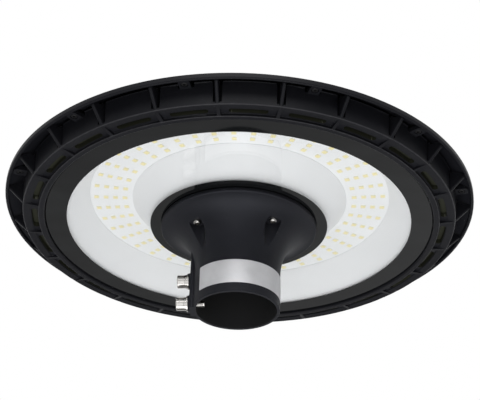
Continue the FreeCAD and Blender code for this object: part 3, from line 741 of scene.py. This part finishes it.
class STREETLIGHT_OT_castings(Operator):
    """Round the neck and the cover, and mark the castings' faces that get painted light in their
    hollows and painted highlights on their round edges
    """

    bl_idname = "streetlight.castings"
    bl_label = "Castings"

    def execute(self, context):
        size = sizes()
        slots_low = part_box("housing")[0].z + SLOT_LIFT

        def in_slot(point, normal):
            lifted = within(point.z, (slots_low, slots_low + SLOT_DEPTH))
            return lifted and within(across(point), SLOT_RADII)

        def in_bore(point, normal):
            return within(point.z, BORE_HEIGHTS) and within(across(point), BORE_RADII)

        def at_pad_foot(point):
            return point.x < PAD_FOOT_SIDE and point.z < PAD_FOOT_HEIGHT

        def on_round_edge(point, normal):
            radius = across(point)
            on_edge = within(radius, RING_EDGE_RADII) or within(radius, RIDGE_EDGE_RADII)
            low = point.z < slots_low + EDGE_HEIGHT
            return on_edge and low and within(-normal.z, EDGE_SLANT)

        housing = self.smooth_copy("housing")
        # Painted light in the slots
        mark(housing, "bare", in_slot)
        # Painted highlight on the rim's round edges that face down
        mark(housing, "worn", on_round_edge)
        self.put_on(housing, "housing", "slotted_casting", crease=18)
        neck = self.smooth_copy("neck")
        self.round_off(neck, size.neck_edge, narrowed=False, tight=at_pad_foot)
        # Painted light in the pole socket
        mark(neck, "bare", in_bore)
        self.put_on(neck, "neck", "bored_casting", crease=40)
        cover = self.smooth_copy("top_cover")
        self.round_off(cover, size.cover_edge, narrowed=True)
        self.put_on(cover, "top_cover", "casting_black", crease=40)
        return {"FINISHED"}

    def smooth_copy(self, node):
        """A copy of a casting's mesh, merged, without the edges inside its flat faces."""
        start()
        casting = bpy.data.objects.new("cast_" + node, frame["nodes"][node].data.copy())
        bpy.context.scene.collection.objects.link(casting)
        casting.data.name = casting.name
        shape(casting)
        bpy.ops.mesh.remove_doubles(threshold=SAME_POINT)
        bpy.ops.mesh.dissolve_limited(angle_limit=math.radians(0.5))
        start()
        return casting

    def round_off(self, casting, width, narrowed, tight=None):
        """Round the sharp edges but for tight ones, narrowed where points lie close if asked."""
        shape(casting)
        bpy.ops.mesh.select_mode(type="EDGE")
        bpy.ops.mesh.select_all(action="DESELECT")
        mesh = bmesh.from_edit_mesh(casting.data)
        for edge in mesh.edges:
            middle = (edge.verts[0].co + edge.verts[1].co) / 2
            sharp = edge.calc_face_angle(0) > SHARP_EDGE
            edge.select_set(sharp and not (tight and tight(middle)))
        mesh.select_flush_mode()
        bmesh.update_edit_mesh(casting.data)
        bpy.ops.mesh.bevel(
            offset=width, segments=2, profile=0.5, affect="EDGES", clamp_overlap=narrowed
        )
        drop_slivers()
        start()

    def put_on(self, casting, node, skin, crease):
        """Finish a casting, with its shading taken from its large faces."""
        keep(casting, "head", "casting_black", node, crease=crease, skin=skin)
        take(casting)
        bpy.ops.object.modifier_add(type="WEIGHTED_NORMAL")
        flats = casting.modifiers[-1]
        flats.keep_sharp = True
        bpy.ops.object.modifier_apply(modifier=flats.name)


def hex_key(name, across_flats, low, high):
    """A six-sided cutter with a drilled point at its lower end."""
    shoulder, point = across_flats * 0.06, across_flats * 0.14
    cutter = add_rod(name, across_flats / math.sqrt(3), low, high, 6)
    shape(cutter)
    pick(cutter, "FACE", lambda p, n: n.z < -0.9)
    bpy.ops.mesh.inset(thickness=shoulder)
    bpy.ops.mesh.extrude_region_move(TRANSFORM_OT_translate={"value": (0, 0, -point)})
    bpy.ops.mesh.merge(type="CENTER")
    start()
    return cutter


def thread_ridge(name, radius, depth, pitch, low, high):
    """A helical ridge between two heights, with closed ends."""
    root, crest = radius - depth * 1.15, radius
    half_root, half_crest = pitch * 0.44, pitch * 0.07
    ridge = trace(name, [
        (root / MM, (low - half_root) / MM),
        (crest / MM, (low - half_crest) / MM),
        (crest / MM, (low + half_crest) / MM),
        (root / MM, (low + half_root) / MM),
    ])
    take(ridge)
    bpy.ops.object.modifier_add(type="SCREW")
    turning = ridge.modifiers[-1]
    turning.axis = "Z"
    turning.angle = math.tau
    turning.screw_offset = pitch
    turning.iterations = int((high - low) / pitch)
    turning.steps = 28
    turning.render_steps = 28
    turning.use_merge_vertices = False
    bpy.ops.object.modifier_apply(modifier=turning.name)
    shape(ridge)
    close_ends(8)
    start()
    return ridge


def cap_head(name):
    """The knurled head of a clamp screw, standing on the origin."""
    size = sizes()
    height = size.head_height
    crown_round, foot_round, key_round = 0.75 * MM, 0.30 * MM, 0.22 * MM
    plain_edge, groove_side, groove_depth = 0.55 * MM, 0.06 * MM, 0.24 * MM
    grooved = (1.0 * MM, height - 1.5 * MM)
    key_floor, key_top = height * 0.48, height + 1 * MM
    head = add_rod(name, size.head_radius, 0, height, size.knurls * 2)
    shape(head)
    soften(head, crown_round, 4, lambda p, d: near(p.z, height) and abs(d.z) < 0.1)
    soften(head, foot_round, 2, lambda p, d: near(p.z, 0) and abs(d.z) < 0.1)
    pick(head, "FACE", lambda p, n: abs(n.z) < 0.05)
    bpy.ops.mesh.inset(thickness=plain_edge, use_even_offset=True)
    step = math.pi / size.knurls

    def groove(point, normal):
        if abs(normal.z) > 0.05 or not within(point.z, grooved):
            return False
        turn = math.atan2(point.y, point.x) + math.pi
        return math.floor(turn / step + 0.01) % 2 == 0

    pick(head, "FACE", groove)
    bpy.ops.mesh.inset(thickness=groove_side, depth=-groove_depth, use_individual=True)
    start()
    cut(head, hex_key("clamp_key", size.socket_across, key_floor, key_top))
    shape(head)
    across_corners = size.socket_across / math.sqrt(3)
    soften(head, key_round, 2, lambda p, d: (
        near(p.z, height) and abs(d.z) < 0.05 and across(p) < across_corners * 1.02
    ))
    return head


class STREETLIGHT_OT_clamp_screws(Operator):
    """Model a clamp screw with its knurled head, key socket and thread, and set both in place"""

    bl_idname = "streetlight.clamp_screws"
    bl_label = "Clamp screws"

    def execute(self, context):
        size = sizes()
        core = size.thread_radius - size.thread_depth
        sunk, tip_round, tip_plain, neck_plain = 0.4 * MM, 0.55 * MM, 1.3 * MM, 0.9 * MM
        for side in ("upper", "lower"):
            node = "clamp_screw_" + side
            low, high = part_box(node)
            reach = (high.x - low.x) - size.head_height
            screw = cap_head("turned_clamp_screw_" + side)
            shank = add_rod("clamp_shank", core, -reach, sunk, 48)
            shape(shank)
            soften(shank, tip_round, 2, lambda p, d: near(p.z, -reach) and abs(d.z) < 0.1)
            ridge = thread_ridge(
                "clamp_thread", size.thread_radius, size.thread_depth,
                size.thread_pitch, -reach + tip_plain, -neck_plain,
            )
            take(screw, shank, ridge)
            bpy.ops.object.join()
            seat = (low.x + size.head_height, 0, (low.z + high.z) / 2)
            put(screw, seat, (0, -math.pi / 2, 0))
            keep(screw, side + "_screw", "bright_steel", node)
        return {"FINISHED"}


class STREETLIGHT_OT_washers(Operator):
    """Turn the flat washers and the split spring washers of the clamp screws"""

    bl_idname = "streetlight.washers"
    bl_label = "Washers"

    def execute(self, context):
        hole = sizes().washer_hole / MM
        for side in ("upper", "lower"):
            for kind, edge in WASHERS.items():
                node = kind + side
                low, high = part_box(node)
                thick = high.x - low.x
                rim, top = (high.z - low.z) / 2 / MM, thick / MM
                outline = [(hole, 0), (rim, 0), (rim, top), (hole, top)]
                if kind == "flat_washer_":
                    washer = turned("turned_" + node, outline, 72)
                else:
                    washer = trace("turned_" + node, outline)
                    bpy.ops.mesh.spin(steps=68, angle=SPRING_SWEEP, center=HERE, axis=UP)
                    close_ends(4)
                soften(washer, edge, 3, lambda p, d: (
                    runs_round(p, d) and (near(p.z, 0) or near(p.z, thick))
                ))
                put(washer, HERE, (0, 0, WASHER_TURN))
                put(washer, (high.x, 0, (low.z + high.z) / 2), (0, -math.pi / 2, 0))
                keep(washer, side + "_washers", "bright_steel", node)
        return {"FINISHED"}


def round_screw(node, head_radius, head_height, shank_radius, key):
    """A screw with a rounded head that faces down and a key socket, as high as a CAD node."""
    low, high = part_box(node)
    head_low, seat, top = low.z, low.z + head_height, high.z
    head_round = min(head_radius * 0.34, head_height * 0.5)
    key_depth, tip_round, sunk = head_height * 0.62, 0.5 * MM, 0.1 * MM
    head = add_rod("turned_" + node, head_radius, head_low, seat, 40)
    shape(head)
    soften(head, head_round, 4, lambda p, d: near(p.z, head_low) and abs(d.z) < 0.1)
    start()
    cutter = hex_key("screw_key", key, -head_low - key_depth, -head_low + 1 * MM)
    put(cutter, HERE, (math.pi, 0, 0))
    cut(head, cutter)
    shank = add_rod("screw_shank", shank_radius, seat - sunk, top, 24)
    shape(shank)
    soften(shank, tip_round, 2, lambda p, d: near(p.z, top) and abs(d.z) < 0.1)
    take(head, shank)
    bpy.ops.object.join()
    return head


class STREETLIGHT_OT_neck_screws(Operator):
    """Model one neck screw and copy it to its four places"""

    bl_idname = "streetlight.neck_screws"
    bl_label = "Neck screws"

    def execute(self, context):
        screw = round_screw("neck_screws", **NECK_SCREW)
        reach = sizes().neck_screw_circle * math.sqrt(0.5)
        put(screw, (reach, reach, 0))
        copy_round(screw, NECK_SCREW_COUNT)
        keep(screw, "head", "bright_steel", "neck_screws")
        return {"FINISHED"}


class STREETLIGHT_OT_cover_screws(Operator):
    """Model one cover screw and copy it to its twelve lugs"""

    bl_idname = "streetlight.cover_screws"
    bl_label = "Cover screws"

    def execute(self, context):
        screw = round_screw("cover_screws", **COVER_SCREW)
        reach = sizes().cover_screw_circle
        turn = COVER_SCREW_TURN
        put(screw, (reach * math.cos(turn), reach * math.sin(turn), 0))
        copy_round(screw, COVER_SCREW_COUNT)
        keep(screw, "head", "black_steel", "cover_screws")
        return {"FINISHED"}


class STREETLIGHT_OT_label(Operator):
    """Bend the blank silver band round the tube"""

    bl_idname = "streetlight.label"
    bl_label = "Silver band"

    def execute(self, context):
        size = sizes()
        low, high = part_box("label_band")
        inner, outer = size.label_radius / MM, (size.label_radius + size.label_thickness) / MM
        band = trace("bent_label_band", [
            (inner, low.z / MM), (outer, low.z / MM), (outer, high.z / MM), (inner, high.z / MM)
        ])
        bpy.ops.mesh.spin(steps=100, angle=LABEL_SWEEP, center=HERE, axis=UP)
        close_ends(4)

        def corner(point, direction):
            turn = abs(math.atan2(point.y, point.x))
            at_end = near(turn, 0, 1e-3) or near(turn, LABEL_SWEEP, 1e-3)
            return at_end and abs(direction.z) < 0.05 and across(point) < outer * MM

        soften(band, size.label_corner, 6, corner)
        drop_slivers()
        put(band, HERE, (0, 0, LABEL_TURN))
        keep(band, "head", "label_silver", "label_band")
        return {"FINISHED"}


class STREETLIGHT_OT_packages(Operator):
    """Model one light package and copy it round the four rings"""

    bl_idname = "streetlight.packages"
    bl_label = "Light packages"

    def execute(self, context):
        size = sizes()
        low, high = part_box("led_packages")
        half = size.package_side / 2
        corner_cut, step_width, step_depth = 0.35 * MM, 0.05 * MM, 0.08 * MM
        turn = PACKAGE_TURN
        rings = []
        for ring in range(RING_COUNT):
            package = add_block(
                f"package_ring_{ring}", (-half, -half, low.z), (half, half, high.z)
            )
            shape(package)
            soften(package, corner_cut, 1, lambda p, d: abs(d.z) > 0.9)
            pick(package, "FACE", lambda p, n: n.z < -0.9)
            bpy.ops.mesh.inset(thickness=size.package_rim)
            bpy.ops.mesh.inset(thickness=step_width, depth=-step_depth)
            start()
            mark(package, "phosphor", lambda p, n: n.z < -0.9 and p.z > low.z + step_depth / 2)
            reach = size.first_ring + size.ring_step * ring
            put(package, HERE, (0, 0, turn))
            put(package, (reach * math.cos(turn), reach * math.sin(turn), 0))
            copy_round(package, PACKAGES_IN_RING)
            rings.append(package)
        take(*rings)
        bpy.ops.object.join()
        rings[0].name = "light_packages"
        rings[0].data.name = "light_packages"
        keep(rings[0], "head", "package_yellow", "led_packages")
        return {"FINISHED"}


class STREETLIGHT_OT_glass(Operator):
    """Turn the ring of glass with ground edges"""

    bl_idname = "streetlight.glass"
    bl_label = "Glass"

    def execute(self, context):
        low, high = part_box("glass_lens")
        inner, outer = sizes().glass_hole, high.x
        glass = turned("ground_glass", [
            (inner / MM, low.z / MM), (outer / MM, low.z / MM),
            (outer / MM, high.z / MM), (inner / MM, high.z / MM),
        ], 240)
        soften(glass, sizes().glass_edge, 2, runs_round)
        keep(glass, "head", "clear_glass", "glass_lens", crease=10)
        return {"FINISHED"}


class STREETLIGHT_OT_reflectors(Operator):
    """Spin the two white sloping walls of the tray with rounded folds"""

    bl_idname = "streetlight.reflectors"
    bl_label = "Reflectors"

    def execute(self, context):
        for node, (board_side, rim, fold, foot, foot_side) in REFLECTORS.items():
            low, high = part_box(node)
            bottom, top = low.z / MM, high.z / MM
            under = top - REFLECTOR_SHEET
            wall = turned("spun_" + node, [
                (board_side, top), (rim, top), (rim, under), (fold, under),
                (foot, bottom + REFLECTOR_SHEET), (foot, bottom), (foot_side, bottom),
                (board_side, under),
            ], 200)
            soften(wall, sizes().fold_radius, 2, runs_round)
            keep(wall, "head", "reflector_white", node)
        return {"FINISHED"}


# Studio


class STREETLIGHT_OT_stage(Operator):
    """Set up the floor, the soft light and the camera"""

    bl_idname = "streetlight.stage"
    bl_label = "Studio"

    def execute(self, context):
        self.lay_floor()
        self.light_world(context.scene)
        for name, lamp in LAMPS.items():
            self.add_lamp(name, *lamp)
        self.set_camera(context.scene)
        context.scene.view_settings.view_transform = "Standard"
        return {"FINISHED"}

    def lay_floor(self):
        start()
        bpy.ops.mesh.primitive_plane_add(size=FLOOR_SIDE, location=(0, 0, FLOOR_HEIGHT))
        floor = named("studio_floor")
        floor.data.materials.append(finish("floor_pale"))

    def light_world(self, scene):
        world = bpy.data.worlds.new("studio_light")
        scene.world = world
        world.use_nodes = True
        tree = world.node_tree
        soft = tree.nodes["Background"]
        soft.inputs["Color"].default_value = WHITE
        soft.inputs["Strength"].default_value = SOFT_LIGHT
        white = add_node(tree, "Background", {"Color": WHITE, "Strength": 1.0})
        path = add_node(tree, "LightPath")
        seen = combine(
            tree, "MAXIMUM", path.outputs["Is Camera Ray"], path.outputs["Is Transmission Ray"]
        )
        seen = combine(tree, "MAXIMUM", seen, path.outputs["Is Glossy Ray"])
        mixed = add_node(tree, "MixShader")
        tree.links.new(seen, mixed.inputs[0])
        tree.links.new(soft.outputs[0], mixed.inputs[1])
        tree.links.new(white.outputs[0], mixed.inputs[2])
        tree.links.new(mixed.outputs[0], tree.nodes["World Output"].inputs["Surface"])

    def add_lamp(self, name, at, aim, side, power):
        start()
        bpy.ops.object.light_add(type="AREA", location=at)
        lamp = bpy.context.object
        lamp.name = name
        lamp.data.size = side
        lamp.data.energy = power
        lamp.rotation_euler = (Vector(aim) - Vector(at)).to_track_quat("-Z", "Y").to_euler()
        lamp.visible_camera = False

    def set_camera(self, scene):
        start()
        bpy.ops.object.camera_add()
        camera = bpy.context.object
        camera.name = "photo_camera"
        camera.data.lens = LENS
        camera.data.sensor_width = SENSOR_WIDTH
        camera.data.sensor_fit = "HORIZONTAL"
        camera.data.shift_x = -HALF_PIXEL
        camera.data.shift_y = HALF_PIXEL
        ahead = Vector(CAMERA_AIM).normalized()
        level = ahead.cross(Vector(UP)).normalized()
        above = level.cross(ahead)
        right = math.cos(CAMERA_ROLL) * level + math.sin(CAMERA_ROLL) * above
        top = math.cos(CAMERA_ROLL) * above - math.sin(CAMERA_ROLL) * level
        pose = Matrix((right, top, -ahead)).transposed().to_4x4()
        pose.translation = CAMERA_PLACE
        camera.matrix_world = pose
        scene.camera = camera


PIECES = (
    STREETLIGHT_OT_finishes,
    STREETLIGHT_OT_stage,
    STREETLIGHT_OT_castings,
    STREETLIGHT_OT_clamp_screws,
    STREETLIGHT_OT_washers,
    STREETLIGHT_OT_neck_screws,
    STREETLIGHT_OT_cover_screws,
    STREETLIGHT_OT_label,
    STREETLIGHT_OT_packages,
    STREETLIGHT_OT_glass,
    STREETLIGHT_OT_reflectors,
)


class STREETLIGHT_PT_panel(Panel):
    """The street light's pieces, sizes and colours"""

    bl_label = "Street light"
    bl_idname = "STREETLIGHT_PT_panel"
    bl_space_type = "VIEW_3D"
    bl_region_type = "UI"
    bl_category = "Street light"

    def draw(self, context):
        for group in (context.scene.street_light_sizes, context.scene.street_light_colours):
            box = self.layout.box()
            for key in group.bl_rna.properties.keys():
                if key not in ("name", "rna_type"):
                    box.prop(group, key)
        for piece in PIECES:
            self.layout.operator(piece.bl_idname)


CLASSES = (LightSizes, LightColours, *PIECES, STREETLIGHT_PT_panel)


def register():
    """Make the classes and their settings known to Blender."""
    for each in CLASSES:
        bpy.utils.register_class(each)
    bpy.types.Scene.street_light_sizes = PointerProperty(type=LightSizes)
    bpy.types.Scene.street_light_colours = PointerProperty(type=LightColours)


def unregister():
    """Take the classes and their settings away again."""
    del bpy.types.Scene.street_light_colours
    del bpy.types.Scene.street_light_sizes
    for each in reversed(CLASSES):
        bpy.utils.unregister_class(each)


def main():
    """Build every piece in order."""
    register()
    bpy.ops.streetlight.finishes()
    bpy.ops.streetlight.stage()
    bpy.ops.streetlight.castings()
    bpy.ops.streetlight.clamp_screws()
    bpy.ops.streetlight.washers()
    bpy.ops.streetlight.neck_screws()
    bpy.ops.streetlight.cover_screws()
    bpy.ops.streetlight.label()
    bpy.ops.streetlight.packages()
    bpy.ops.streetlight.glass()
    bpy.ops.streetlight.reflectors()
    start()


if __name__ == "__main__":
    main()
